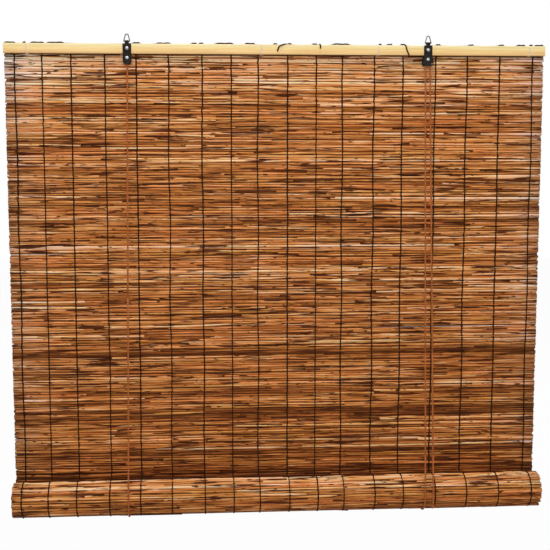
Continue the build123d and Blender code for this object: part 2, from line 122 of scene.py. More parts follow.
def add_mix(tree, factor, first, second, blend="MIX"):
    """A colour mix of sockets or plain colours; its sockets go by place, because their names repeat."""
    made = add_node(tree, "ShaderNodeMix", data_type="RGBA", blend_type=blend)
    feed(tree, made.inputs[mix_factor], factor)
    feed(tree, made.inputs[mix_first], first)
    feed(tree, made.inputs[mix_second], second)
    return made.outputs[mix_result]


def new_material(name, **values):
    """A material with its Principled shader's plain values set; returns it, its tree and the shader."""
    material = bpy.data.materials.new(name)
    material.use_nodes = True
    tree = material.node_tree
    shader = tree.nodes["Principled BSDF"]
    for socket, value in values.items():
        shader.inputs[socket].default_value = value
    return material, tree, shader


def finish_surface(tree, shader, colour, rough_by, roughness, bump_by, relief):
    """Links a finish to its shader: a colour, a roughness (least, spread) and a relief (strength, depth)."""
    least, spread = roughness
    strength, depth = relief
    uneven = add_math(tree, "ADD", add_math(tree, "MULTIPLY", rough_by, spread), least)
    bump = add_node(tree, "ShaderNodeBump", Strength=strength, Distance=depth)
    tree.links.new(bump_by, bump.inputs["Height"])
    tree.links.new(colour, shader.inputs["Base Color"])
    tree.links.new(uneven, shader.inputs["Roughness"])
    tree.links.new(bump.outputs["Normal"], shader.inputs["Normal"])


def dress(piece, material):
    """Gives a piece or a solid of the frame one finish all over."""
    if not piece.data.materials:
        piece.data.materials.append(material)
    for index in range(len(piece.data.materials)):
        piece.data.materials[index] = material


def fibre_group():
    """Long fibres: noise drawn out along one direction of the coordinates it is given."""
    group = bpy.data.node_groups.new("long_fibres", "ShaderNodeTree")
    group.interface.new_socket("Vector", in_out="INPUT", socket_type="NodeSocketVector")
    group.interface.new_socket("Stretch", in_out="INPUT", socket_type="NodeSocketVector")
    group.interface.new_socket("Fibre", in_out="OUTPUT", socket_type="NodeSocketFloat")
    start = group.nodes.new("NodeGroupInput")
    end = group.nodes.new("NodeGroupOutput")
    stretch = add_node(group, "ShaderNodeVectorMath", operation="MULTIPLY")
    noise = add_node(group, "ShaderNodeTexNoise", Scale=1.0, Detail=4.0, Roughness=0.6)
    group.links.new(start.outputs["Vector"], stretch.inputs[0])
    group.links.new(start.outputs["Stretch"], stretch.inputs[1])
    group.links.new(stretch.outputs["Vector"], noise.inputs["Vector"])
    group.links.new(noise.outputs["Fac"], end.inputs["Fibre"])
    return group


long_fibres = fibre_group()


def add_fibres(tree, vector, stretch):
    """The long fibres in a material, with their counts a metre along each axis."""
    made = add_node(tree, "ShaderNodeGroup", node_tree=long_fibres, Stretch=stretch)
    tree.links.new(vector, made.inputs["Vector"])
    return made.outputs["Fibre"]


bamboo_finish, tree, shader = new_material(
    "bamboo_slat", **{"IOR": 1.45, "Coat Weight": 0.15, "Coat Roughness": 0.35}
)
coords = add_node(tree, "ShaderNodeTexCoord").outputs["Object"]
fine = add_fibres(tree, coords, (14, 900, 900))
broad = add_fibres(tree, coords, (5, 90, 160))
straw = add_ramp(
    tree,
    fine,
    ((0.25, (0.80, 0.52, 0.19)), (0.6, (0.90, 0.63, 0.26)), (0.85, (0.94, 0.70, 0.34))),
)
stain = add_ramp(tree, broad, ((0.3, (0.86, 0.78, 0.66)), (0.6, (1, 1, 1))))
rail_axes = add_node(tree, "ShaderNodeSeparateXYZ")
tree.links.new(coords, rail_axes.inputs["Vector"])
level = add_node(tree, "ShaderNodeMapRange", **{"From Min": rail_low.z, "From Max": rail_high.z})
tree.links.new(rail_axes.outputs["Z"], level.inputs["Value"])
# Painted highlight and shade: the slat is paler towards its upper edge and a little darker at its foot.
painted_highlight_and_shade = add_ramp(
    tree,
    level.outputs["Result"],
    (
        (0.05, (0.93, 0.85, 0.88)),
        (0.25, (1.03, 1.00, 1.05)),
        (0.55, (1.07, 1.14, 1.18)),
        (0.8, (1.07, 1.28, 1.65)),
        (1.0, (1.07, 1.35, 1.9)),
    ),
)
stained = add_mix(tree, 1.0, straw, stain, "MULTIPLY")
colour = add_mix(tree, 1.0, stained, painted_highlight_and_shade, "MULTIPLY")
finish_surface(tree, shader, colour, fine, (0.4, 0.3), fine, (0.25, 0.0004))
dress(nodes["head_rail"], bamboo_finish)

# Reed mat: 180 rows of whole dried reeds, two to four to a row, with thinner reeds behind the gaps.
# Each reed tapers, bows a little and ends raggedly at the sides; dark sheaths and slivers cling to it.
# The first rows, behind the rail and just below it, make one piece and the hanging rows another.
draw = random.Random(41)
rows = 180
still_rows = 15
mat_low, mat_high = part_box("reed_mat")
half_width = mat_high.x
mat_y = (mat_low.y + mat_high.y) / 2
mat_top = mat_high.z
mat_foot = mat_low.z
row_pitch = (mat_top - mat_foot) / rows
reed_size = 1.04 * row_pitch
reed_sides = 7
reed_cuts = 5

bpy.ops.object.select_all(action="DESELECT")
bpy.ops.mesh.primitive_cylinder_add(vertices=reed_sides, radius=1, depth=1, rotation=(0, math.pi / 2, 0))
pattern = bpy.context.object
bpy.ops.object.transform_apply(location=False, rotation=True, scale=False)
bpy.ops.object.mode_set(mode="EDIT")
bpy.ops.mesh.select_all(action="DESELECT")
bpy.ops.mesh.select_mode(type="EDGE")
bpy.ops.object.mode_set(mode="OBJECT")
for edge in pattern.data.edges:
    first, second = (pattern.data.vertices[index].co for index in edge.vertices)
    edge.select = abs(first.x - second.x) > 0.5
bpy.ops.object.mode_set(mode="EDIT")
bpy.ops.mesh.subdivide(number_cuts=reed_cuts)
bpy.ops.object.mode_set(mode="OBJECT")
bpy.ops.object.shade_smooth()
pattern_points = np.array([vertex.co for vertex in pattern.data.vertices])
pattern_loops = np.array([loop.vertex_index for loop in pattern.data.loops])
reed_numbers = itertools.count(1)
map_middle, map_reach = 0.5, 0.4
grey_from, grey_width = 0.86, 0.1


def near(value, centre, width):
    """1 at a centre, falling away to 0 over a width."""
    return math.exp(-(((value - centre) / width) ** 2))


def mat_tone_and_painted_light(x, z):
    """How much paler or darker the mat is at a place: paler top rows and upper left corner, painted light
    against the rail's shadow under the rail, painted shade above the roll and towards the bottom.
    """
    drop = (mat_top - z) / (mat_top - mat_foot)
    top_rows = near(drop, 0, 0.1)
    # Painted light that lifts the rail's shadow off the rows just under the rail.
    under_rail = near(drop, 0.03, 0.03)
    left_corner = near(x, -half_width, 0.14) * near(drop, 0, 0.12)
    # Painted shade in the rows just above the roll.
    above_roll = near(drop, 1, 0.05)
    paler = 0.1 * top_rows + 0.14 * under_rail + 0.34 * left_corner
    # The drop term is painted shade that darkens the mat towards the bottom.
    return 0.04 - 0.11 * drop + paler - 0.64 * above_roll


def bleaching(x):
    """How far the mat's side edges have gone grey, from 0 to 1."""
    return min(1, max(0, (abs(x) / half_width - grey_from) / grey_width))


def lay_reed(start, end, thick, taper, y, z, bow, lean, shade, with_painted_light_and_bleach=True):
    """One reed from x start to x end: thick at its butt, thinner at its tip, bowed and leaning a little.
    Its map holds the place along the blind, and the reed's number with the place across the reed."""
    mesh = pattern.data.copy()
    share = pattern_points[:, 0] + 0.5
    radius = thick / 2 * (1 - taper * share)
    arch = np.sin(math.pi * share)
    points = np.empty_like(pattern_points)
    points[:, 0] = start + (end - start) * share
    points[:, 1] = y + radius * pattern_points[:, 1] + bow[0] * arch
    points[:, 2] = z + radius * pattern_points[:, 2] + bow[1] * arch + lean * (share - 0.5)
    mesh.vertices.foreach_set("co", points.astype(np.float32).ravel())
    layer = mesh.uv_layers.active
    layer.name = "reed_run"
    uv = np.empty((len(pattern_loops), 2), np.float32)
    uv[:, 0] = points[pattern_loops, 0]
    uv[:, 1] = next(reed_numbers) + map_middle + map_reach * pattern_points[pattern_loops, 2]
    layer.data.foreach_set("uv", uv.ravel())
    shades = mesh.attributes.new("shade", "FLOAT", "POINT")
    shades.data.foreach_set("value", [shade + (mat_tone_and_painted_light(x, z) if with_painted_light_and_bleach else 0) for x in points[:, 0]])
    bleached = mesh.attributes.new("bleached", "FLOAT", "POINT")
    bleached.data.foreach_set("value", [bleaching(x) if with_painted_light_and_bleach else 0 for x in points[:, 0]])
    reed = bpy.data.objects.new("reed", mesh)
    bpy.context.scene.collection.objects.link(reed)
    return reed


# How the reeds of a row differ: their ends, sizes, tapers and shades, and how far they stray.
ragged = 0.0042
end_margin = 0.08
overlap = 0.012
size_range = (0.98, 1.16)
least_taper = 0.04
shade_spread = 0.12
stray_up, stray_deep, bow_up, bow_deep = 1.5, 0.6, 1.4, 0.6


def lay_row(y, z, thick, slack, lean, shade, counts=(2, 3, 3, 4), taper=0.42, with_painted_light_and_bleach=True, trim=0.0):
    """A row of a few reeds across the width, butts to tips, their ends side by side where they meet."""
    laid = []
    left = -half_width + trim + draw.uniform(0, ragged) * draw.random()
    right = half_width - draw.uniform(0, ragged) * draw.random()
    cuts = sorted(
        draw.uniform(left + end_margin, right - end_margin) for _ in range(draw.choice(counts) - 1)
    )
    stops = [left, *cuts, right]
    for first, last in zip(stops, stops[1:]):
        butt, tip = first, last + (overlap if last < right else 0)
        middle = z + lean * (butt + tip) / (4 * half_width)
        rise = lean * (tip - butt) / (2 * half_width) + draw.gauss(0, stray_up * slack)
        if draw.random() < 0.5:
            butt, tip = tip, butt
            rise = -rise
        bow = (draw.gauss(0, bow_deep * slack), draw.gauss(0, bow_up * slack))
        depth = y + draw.gauss(0, stray_deep * slack)
        size = thick * draw.uniform(*size_range)
        narrowing = draw.uniform(least_taper, least_taper + taper)
        tone = shade + draw.gauss(0, shade_spread)
        laid.append(lay_reed(butt, tip, size, narrowing, depth, middle, bow, rise, tone, with_painted_light_and_bleach))
    return laid


# Slivers: their lengths, places, thicknesses, slants and shades.
sliver_length = (0.025, 0.075)
sliver_extra = 0.07
sliver_inset = 0.002
sliver_thick = (0.0016, 0.0032)
sliver_taper = 0.9
sliver_stray = 0.0006
sliver_slant = 0.0018
sliver_shade = (-0.4, 0.05)


def lay_sliver(y, z, front, with_painted_light_and_bleach=True):
    """A torn strip of dark sheath, or a dark reed tip, that lies on the reeds a little aslant."""
    length = draw.uniform(*sliver_length) + sliver_extra * draw.random() ** 3
    start = draw.uniform(-half_width + sliver_inset, half_width - length - sliver_inset)
    ends = (start, start + length) if draw.random() < 0.5 else (start + length, start)
    thick = draw.uniform(*sliver_thick)
    level_z = z + draw.gauss(0, sliver_stray)
    slant = draw.gauss(0, sliver_slant)
    shade = draw.uniform(*sliver_shade)
    return lay_reed(*ends, thick, sliver_taper, y + front, level_z, (0, 0), slant, shade, with_painted_light_and_bleach)


def join_pieces(pieces, name):
    """Several pieces as one object."""
    bpy.ops.object.select_all(action="DESELECT")
    for piece in pieces:
        piece.select_set(True)
    bpy.context.view_layer.objects.active = pieces[0]
    bpy.ops.object.join()
    joined = bpy.context.object
    joined.name = name
    return joined


def join_reeds(reeds, name):
    """Many reeds as one object with its faces turned outwards."""
    joined = join_pieces(reeds, name)
    bpy.ops.object.mode_set(mode="EDIT")
    bpy.ops.mesh.select_all(action="SELECT")
    bpy.ops.mesh.normals_make_consistent(inside=False)
    bpy.ops.object.mode_set(mode="OBJECT")
    return joined


reed_finish, tree, shader = new_material("dried_reed", **{"IOR": 1.4, "Specular IOR Level": 0.12})
reed_map = add_node(tree, "ShaderNodeUVMap", uv_map="reed_run")
reed_axes = add_node(tree, "ShaderNodeSeparateXYZ")
tree.links.new(reed_map.outputs["UV"], reed_axes.inputs["Vector"])
reed_number = add_math(tree, "FLOOR", reed_axes.outputs["Y"])
reed_girth = add_math(tree, "FRACT", reed_axes.outputs["Y"])
number_step = 7.31


def add_reed_noise(along, across, detail):
    """Noise along each reed, with no link to the reed beside it."""
    vector = add_node(tree, "ShaderNodeCombineXYZ")
    tree.links.new(add_math(tree, "MULTIPLY", reed_axes.outputs["X"], along), vector.inputs["X"])
    tree.links.new(add_math(tree, "MULTIPLY", reed_number, number_step), vector.inputs["Y"])
    tree.links.new(add_math(tree, "MULTIPLY", reed_girth, across), vector.inputs["Z"])
    noise = add_node(tree, "ShaderNodeTexNoise", Scale=1.0, Detail=detail, Roughness=0.55)
    tree.links.new(vector.outputs["Vector"], noise.inputs["Vector"])
    return noise.outputs["Fac"]


streak = add_reed_noise(17.0, 4.0, 3.0)
patch = add_reed_noise(15.0, 1.6, 2.0)
fleck = add_reed_noise(70.0, 2.0, 1.0)
hue = add_reed_noise(3.5, 0.4, 1.0)
# The shade attribute holds each reed's tone together with the painted light and shade of mat and roll.
shade_with_painted_light = add_node(tree, "ShaderNodeAttribute", attribute_name="shade").outputs["Fac"]
streaking = add_math(tree, "MULTIPLY", add_math(tree, "SUBTRACT", streak, 0.5), 1.75)
amber = add_ramp(
    tree,
    add_math(tree, "ADD", shade_with_painted_light, streaking),
    (
        (0.0, (0.055, 0.012, 0.002)),
        (0.22, (0.22, 0.060, 0.011)),
        (0.5, (0.555, 0.186, 0.040)),
        (0.75, (0.83, 0.36, 0.115)),
        (1.0, (0.96, 0.66, 0.41)),
    ),
)
tint = add_ramp(tree, hue, ((0.36, (1.0, 0.88, 0.85)), (0.5, (1, 1, 1)), (0.64, (0.96, 1.02, 0.88))))
bare_reed = add_mix(tree, 1.0, amber, tint, "MULTIPLY")
sheath = add_ramp(tree, patch, ((0.565, (0, 0, 0)), (0.605, (1, 1, 1))))
speck = add_ramp(tree, fleck, ((0.66, (0, 0, 0)), (0.70, (1, 1, 1))))
covered = add_mix(tree, 1.0, sheath, speck, "LIGHTEN")
husk = add_ramp(tree, streak, ((0.3, (0.032, 0.007, 0.002)), (0.7, (0.15, 0.036, 0.007))))
skin = add_mix(tree, covered, bare_reed, husk)
side_edge = add_node(tree, "ShaderNodeAttribute", attribute_name="bleached").outputs["Fac"]
grey = add_ramp(tree, side_edge, ((0.0, (1, 1, 1)), (1.0, (1.04, 1.2, 1.7))))
colour = add_mix(tree, 1.0, skin, grey, "MULTIPLY")
finish_surface(tree, shader, colour, streak, (0.4, 0.3), streak, (0.3, 0.0005))

# The threads' places as shares of the half width, the dark rows, and the rows under the rail
# whose reeds are thinner and have none behind them at the left edge.
thread_shares = (
    -0.962, -0.864, -0.760, -0.638, -0.524, -0.407, -0.284, -0.176, -0.078,
    0.033, 0.140, 0.238, 0.356, 0.464, 0.587, 0.707, 0.831, 0.958,
)
mat_shade = 0.61
dark_rows = (24, 62, 69, 122, 123, 146, 147, 148, 149, 163, 164)
dark_row_loss = 0.28
open_rows = range(4, 8)
open_row_size = 0.9
open_trim = 0.7 * half_width * (1 + thread_shares[0])
lean_kept = 0.7
lean_spread = 0.0008
front_y = mat_y - 0.0003
front_slack = 0.0005
behind_y = mat_y + 0.0004
behind_slack = 0.0001
behind_size = 0.66 * reed_size
# The reeds behind are dark as painted shade, so the gaps between the front reeds show as dark lines.
behind_painted_shade = 0.2
behind_counts = (1, 2)
behind_taper = 0.05
sliver_counts = (1, 2, 2, 3, 4)
sliver_levels = (0.5, 0.5, 0.2)
sliver_lift = 0.42 * reed_size
still = []
hanging = []
lean = 0
for row in range(rows):
    z = mat_top - (row + 0.5) * row_pitch
    lean = lean_kept * lean + draw.gauss(0, lean_spread)
    shade = mat_shade - (dark_row_loss if row in dark_rows else 0)
    thick = (open_row_size if row in open_rows else 1) * reed_size
    trim = open_trim if row in open_rows else 0
    laid = lay_row(front_y, z, thick, front_slack, lean, shade)
    for behind_z in (z, z - row_pitch / 2):
        laid += lay_row(
            behind_y, behind_z, behind_size, behind_slack, lean, behind_painted_shade, behind_counts, behind_taper,
            trim=trim,
        )
    for _ in range(draw.choice(sliver_counts)):
        laid.append(lay_sliver(mat_y, z - row_pitch * draw.choice(sliver_levels), -sliver_lift))
    (still if row < still_rows else hanging).extend(laid)

# The still and hanging rows become two pieces on the blind; the hanging rows get a mesh of their own.
lift_joint = next(joint for joint in frame["joints"] if joint["name"] == "roll_lift")
lift_height = lift_joint["range_m"][1]
for name, reeds in (("reeds_upper", still), ("reeds_lower", hanging)):
    mat = join_reeds(reeds, name)
    dress(mat, reed_finish)
    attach(mat, "blind")
    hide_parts("reed_mat")
    if name == "reeds_lower":
        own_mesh(mat)

# Mat threads: two dark cotton strands at each of 18 places, one before and one behind the reeds.
# They are drawn together between the rows, so that every reed is held, and loop over the mat's top.
thread_places = [share * half_width for share in thread_shares]
thread_radius = 0.0012
thread_loop = 0.0006
stitch_reach = 0.0027
drawn_in = 0.8
tucked = 0.6
sway_most = 0.001
sway_turn = 0.11
shake = 0.00025


def select_only(piece):
    bpy.ops.object.select_all(action="DESELECT")
    piece.select_set(True)
    bpy.context.view_layer.objects.active = piece


def thread_curve(name, runs, radius):
    """Thin strands along lists of points, as one mesh."""
    curve = bpy.data.curves.new(name, "CURVE")
    curve.dimensions = "3D"
    curve.bevel_depth = radius
    curve.bevel_resolution = 0
    curve.use_fill_caps = True
    for run in runs:
        spline = curve.splines.new("POLY")
        spline.points.add(len(run) - 1)
        for control, point in zip(spline.points, run):
            control.co = (*point, 1)
    piece = bpy.data.objects.new(name, curve)
    bpy.context.scene.collection.objects.link(piece)
    select_only(piece)
    bpy.ops.object.convert(target="MESH")
    piece = bpy.context.object
    bpy.ops.object.shade_smooth()
    return piece


thread_finish, tree, shader = new_material("dark_thread", **{"Specular IOR Level": 0.05})
coords = add_node(tree, "ShaderNodeTexCoord").outputs["Object"]
twist = add_fibres(tree, coords, (1800, 1800, 600))
colour = add_ramp(tree, twist, ((0.3, (0.018, 0.006, 0.002)), (0.7, (0.055, 0.018, 0.006))))
finish_surface(tree, shader, colour, twist, (0.5, 0.4), twist, (0.5, 0.0003))

upper_runs = []
lower_runs = []
for x in thread_places:
    sway = draw.uniform(-sway_most, sway_most)
    for side in (-1, 1):
        points = [(x, mat_y, mat_top + thread_loop)]
        for row in range(rows):
            z = mat_top - (row + 0.5) * row_pitch
            drift = sway * math.sin(row * sway_turn) + draw.gauss(0, shake)
            reach = tucked * stitch_reach if z > rail_low.z else stitch_reach
            points.append((x + drift, mat_y + side * reach, z))
            points.append((x + drift, mat_y + side * drawn_in * reach, z - row_pitch / 2))
        still_points = 2 * still_rows + 1
        upper_runs.append(points[:still_points])
        lower_runs.append(points[still_points - 1:])
for name, runs in (("threads_upper", upper_runs), ("threads_lower", lower_runs)):
    threads = thread_curve(name, runs, thread_radius)
    dress(threads, thread_finish)
    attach(threads, "blind")
    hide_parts("mat_threads")
    if name == "threads_lower":
        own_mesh(threads)

# Mat roll: the lower end of the same mat, rolled up towards the front in five turns.
# Each turn's reeds lie on half circles about two centres, as the mat's own thickness sets them.
# Slivers cling to the outer turn; the roll's top has a painted highlight and its underside painted shade.
half_turns = 10
outer_halves = 2
turn_pitch = 0.0044
reed_thick = 0.004
roll_radius = mat_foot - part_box("mat_roll")[0].z
roll_y = mat_y + reed_thick / 2 - roll_radius
roll_slack = 0.0003
roll_lean = 0.0006
roll_shade_spread = 0.05
roll_sliver_counts = (1, 2, 3)


def roll_tone_and_painted_light(turn):
    """The shade of a rolled reed: a painted highlight on the roll's top, painted shade darkest at its
    underside.
    """
    underside = max(0, -math.sin(turn) - 0.7)
    return 0.59 + 0.23 * math.sin(turn) - 0.8 * underside


wound = []
for half in range(half_turns):
    upper = half % 2
    middle_y = roll_y - upper * turn_pitch / 2
    ring_radius = roll_radius - half * turn_pitch / 2 - reed_thick / 2
    count = round(math.pi * ring_radius / row_pitch)
    outer = half < outer_halves
    outward = sliver_lift if outer else 0
    for step in range(count):
        turn = math.pi * (2 - upper) - math.pi * (step + 0.5) / count
        y = middle_y + ring_radius * math.cos(turn)
        z = mat_foot + ring_radius * math.sin(turn)
        shade = roll_tone_and_painted_light(turn) + draw.gauss(0, roll_shade_spread)
        lean = draw.gauss(0, roll_lean)
        wound.extend(lay_row(y, z, reed_size, roll_slack, lean, shade, with_painted_light_and_bleach=False))
        for _ in range(draw.choice(roll_sliver_counts) if outer else 0):
            wound.append(lay_sliver(y, z + outward * math.sin(turn), outward * math.cos(turn), False))
rolled = join_reeds(wound, "rolled_reeds")
dress(rolled, reed_finish)
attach(rolled, "roll")
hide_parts("mat_roll")
bpy.data.objects.remove(pattern)

# Roll threads: the mat's threads carried on round the roll's outer turn.
# They go under the roll from the back, up its front and over its top to where it meets the mat.
tuck = math.radians(28)
thread_proud = 0.2 * thread_radius
thread_sink = 0.0005
thread_stray = 0.0002
runs = []
for x in thread_places:
    points = []
    for half in range(outer_halves):
        middle_y = roll_y - half * turn_pitch / 2
        reach = roll_radius - half * turn_pitch / 2 + thread_proud
        count = 2 * round(math.pi * (reach - reed_thick / 2) / row_pitch)
        for step in range(count):
            turn = math.pi * (2 - half) - math.pi * (step + 0.5) / count
            if half and turn < tuck:
                continue
            ring_radius = reach if step % 2 else reach - thread_sink
            across = x + draw.gauss(0, thread_stray)
            y = middle_y + ring_radius * math.cos(turn)
            z = mat_foot + ring_radius * math.sin(turn)
            points.append((across, y, z))
    runs.append(points)
bands = thread_curve("roll_bands", runs, thread_radius)
dress(bands, thread_finish)
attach(bands, "roll")
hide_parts("roll_threads")

# Lift cord: one round braided cord that carries the roll in two slings and ends as the pull strand.
# It is tied off in the left housing, goes under the roll, up the back, through two eyes, down the back,
# under the roll again and over the wheel in the right housing, from where it hangs with a knot.
cord_radius = 0.0014
cord_sides = 10
cord_y = 0.0014
straight_run = 0.017
eye_bend = 0.0037
sling_radius = roll_radius + 0.0018
corner_radius = sling_radius * 1.087
sling_corners = (199, 245, 291, 337)
front_turn = math.radians(175.6)
knot_reach = 0.0024
wheel_low, wheel_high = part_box("pulley_wheel")
wheel_x = (wheel_low.x + wheel_high.x) / 2
axle_z = (wheel_low.z + wheel_high.z) / 2
wheel_turn = 0.0039
left_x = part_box("cord_left_back")[0].x + cord_radius
right_x = wheel_x - wheel_turn
pull_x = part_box("pull_end")[1].x - knot_reach
back_foot_y = roll_y + sling_radius
back_top_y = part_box("cord_cross")[1].y - cord_radius
back_top_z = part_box("cord_left_back")[1].z
cross_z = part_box("cord_cross")[1].z - cord_radius
housing_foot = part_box("hanger_right")[0].z
spline_steps = 12
same_spot = 1e-6
aside = (0.31, 0.57, 0.76)


def sling_point(x, degrees, radius):
    """A point round the roll at an angle from its back, on a circle of its own radius."""
    turn = math.radians(degrees)
    return (x, roll_y + radius * math.cos(turn), mat_foot + radius * math.sin(turn))


def toward(start, end, distance):
    """The point at a distance from start on the way to end."""
    step = np.array(end) - np.array(start)
    return tuple(np.array(start) + step * distance / np.linalg.norm(step))


def smooth_path(points):
    """The smooth line that a cord takes by its route's points, read from their NURBS spline."""
    curve = bpy.data.curves.new("route", "CURVE")
    curve.dimensions = "3D"
    spline = curve.splines.new("NURBS")
    spline.points.add(len(points) - 1)
    for control, point in zip(spline.points, points):
        control.co = (*point, 1)
    spline.order_u = 3
    spline.use_endpoint_u = True
    spline.resolution_u = spline_steps
    route = bpy.data.objects.new("route", curve)
    bpy.context.scene.collection.objects.link(route)
    line = bpy.data.meshes.new_from_object(route)
    path = [tuple(vertex.co) for vertex in line.vertices]
    bpy.data.objects.remove(route)
    bpy.data.meshes.remove(line)
    return path


def tube(name, path, radius, sides):
    """A round tube along a path, closed at both ends, with its length and turn in the cord_run map."""
    line = np.array(path)
    keep = np.concatenate([[True], np.linalg.norm(np.diff(line, axis=0), axis=1) > same_spot])
    line = line[keep]
    heading = np.gradient(line, axis=0)
    heading /= np.linalg.norm(heading, axis=1)[:, None]
    side = np.cross(heading[0], aside)
    turns = 2 * math.pi * np.arange(sides) / sides
    points = []
    for spot, ahead in zip(line, heading):
        side = side - ahead * np.dot(side, ahead)
        side /= np.linalg.norm(side)
        across = np.cross(ahead, side)
        for turn in turns:
            points.append(spot + radius * (math.cos(turn) * side + math.sin(turn) * across))
    length = np.concatenate([[0], np.cumsum(np.linalg.norm(np.diff(line, axis=0), axis=1))])
    faces = []
    spread = []
    for ring in range(len(line) - 1):
        for corner in range(sides):
            beside = (corner + 1) % sides
            low, high = ring * sides, (ring + 1) * sides
            faces.append((low + corner, low + beside, high + beside, high + corner))
            first, last = corner / sides, (corner + 1) / sides
            close, far = length[ring], length[ring + 1]
            spread.extend(((close, first), (close, last), (far, last), (far, first)))
    faces.append(tuple(reversed(range(sides))))
    spread.extend([(0.0, 0.0)] * sides)
    last_ring = (len(line) - 1) * sides
    faces.append(tuple(range(last_ring, last_ring + sides)))
    spread.extend([(length[-1], 0.0)] * sides)
    mesh = bpy.data.meshes.new(name)
    mesh.from_pydata([tuple(point) for point in points], [], faces)
    layer = mesh.uv_layers.new(name="cord_run")
    layer.data.foreach_set("uv", np.array(spread, np.float32).ravel())
    piece = bpy.data.objects.new(name, mesh)
    bpy.context.scene.collection.objects.link(piece)
    select_only(piece)
    bpy.ops.object.shade_smooth()
    return piece


plaits_per_metre = 330
plaits_around = 4
lint_share = 0.35
cord_finish, tree, shader = new_material("terracotta_braid", **{"Specular IOR Level": 0.15})
cord_map = add_node(tree, "ShaderNodeUVMap", uv_map="cord_run")
cord_axes = add_node(tree, "ShaderNodeSeparateXYZ")
tree.links.new(cord_map.outputs["UV"], cord_axes.inputs["Vector"])
plaits = []
for hand in (-1, 1):
    along = add_math(tree, "MULTIPLY", cord_axes.outputs["X"], 2 * math.pi * plaits_per_metre)
    around = add_math(tree, "MULTIPLY", cord_axes.outputs["Y"], hand * 2 * math.pi * plaits_around)
    plaits.append(add_math(tree, "SINE", add_math(tree, "ADD", along, around)))
plait = add_math(tree, "MULTIPLY", add_math(tree, "ADD", *plaits), 0.25)
braid = add_math(tree, "ADD", plait, 0.5)
coords = add_node(tree, "ShaderNodeTexCoord").outputs["Object"]
fuzz = add_fibres(tree, coords, (900, 900, 900))
# The terracotta dye with painted shade: the colour is darker where the braid's relief is low.
dye_and_groove_shade = add_ramp(
    tree,
    braid,
    ((0.1, (0.21, 0.049, 0.012)), (0.5, (0.43, 0.109, 0.024)), (0.9, (0.59, 0.170, 0.041))),
)
lint = add_ramp(tree, fuzz, ((0.3, (0.28, 0.063, 0.016)), (0.7, (0.59, 0.178, 0.047))))
colour = add_mix(tree, lint_share, dye_and_groove_shade, lint)
finish_surface(tree, shader, colour, fuzz, (0.5, 0.4), braid, (0.6, 0.0004))


def cord_piece(name, path, body, stands_for):
    """One stretch of the lift cord along a path, dressed and attached in place of its solids."""
    piece = tube(name, path, cord_radius, cord_sides)
    dress(piece, cord_finish)
    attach(piece, body)
    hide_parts(*stands_for)
    return piece


def shorten(piece):
    """A hanging stretch that the roll takes up, given a mesh of its own."""
    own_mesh(piece)


def closest(path, axis, value):
    """The place in a path of the point that is closest to a value along an axis."""
    return min(range(len(path)), key=lambda index: abs(path[index][axis] - value))


def front_strand(name, top, x, stands_for):
    """A strand from a housing to the roll's front: a lead in the housing, which stays as it is,
    and three stretches from there down to the roll's front."""
    foot = sling_point(x, math.degrees(front_turn), sling_radius)
    route = [top, toward(top, foot, straight_run), toward(foot, top, straight_run), foot]
    path = smooth_path(route)
    begin = closest(path, 2, housing_foot)
    leads = [tube(f"{name}_lead", path[:begin + 1], cord_radius, cord_sides)] if begin else []
    for lead in leads:
        dress(lead, cord_finish)
        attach(lead, "blind")
        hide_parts(*stands_for)
    raised_foot = mat_foot + lift_height
    depth, raised_begin = path[begin][1:]
    reach = math.hypot(depth - roll_y, raised_begin - raised_foot)
    touch = math.atan2(raised_begin - raised_foot, depth - roll_y) + math.acos(sling_radius / reach)
    turns = [touch + (front_turn - touch) * share for share in (0, 0.5, 1)]
    for count, turn in enumerate(turns):
        end = closest(path, 1, roll_y + sling_radius * math.cos(turn))
        raised_end = raised_foot + math.sqrt(sling_radius ** 2 - (path[end][1] - roll_y) ** 2)
        stretch = path[begin:end + 1]
        piece = cord_piece(f"{name}_{count + 1}", stretch, "blind", stands_for)
        shorten(piece)
        begin = end
        raised_begin = raised_end


def sling(name, x, stands_for):
    """The cord's turn under the roll, from its front to its back."""
    foot = sling_point(x, math.degrees(front_turn), sling_radius)
    corners = [sling_point(x, degrees, corner_radius) for degrees in sling_corners]
    route = [foot, *corners, (x, back_foot_y, mat_foot)]
    cord_piece(name, smooth_path(route), "lift", stands_for)


def back_strand(name, x, stands_for):
    """The strand behind the mat, from the roll's back up to the eye."""
    foot = (x, back_foot_y, mat_foot)
    top = (x, back_top_y, back_top_z)
    route = [foot, toward(foot, top, straight_run), toward(top, foot, straight_run), top]
    piece = cord_piece(name, smooth_path(route), "blind", stands_for)
    shorten(piece)


left_top = (-wheel_x, cord_y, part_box("cord_left_front")[1].z)
right_top = (right_x, cord_y, axle_z)
pull_top = (wheel_x + wheel_turn, cord_y, axle_z)
front_strand("cord_left_front_run", left_top, left_x, ["cord_left_front"])
sling("cord_left_sling", left_x, ["cord_left_bight"])
back_strand("cord_left_back_run", left_x, ["cord_left_back"])
front_strand("cord_right_front_run", right_top, right_x, ["cord_right_front"])
sling("cord_right_sling", right_x, ["cord_right_bight"])
back_strand("cord_right_back_run", right_x, ["cord_right_back"])
cross_route = [
    (left_x, back_top_y, back_top_z),
    (left_x, back_top_y, cross_z - eye_bend),
    (left_x + eye_bend, back_top_y, cross_z),
    (left_x + straight_run, back_top_y, cross_z),
    (right_x - straight_run, back_top_y, cross_z),
    (right_x - eye_bend, back_top_y, cross_z),
    (right_x, back_top_y, cross_z - eye_bend),
    (right_x, back_top_y, back_top_z),
]
cord_piece("cord_cross_run", smooth_path(cross_route), "blind", ["cord_cross"])
for name in ("cord_dead_end", "cord_wheel_turn"):
    dress(nodes[name], cord_finish)

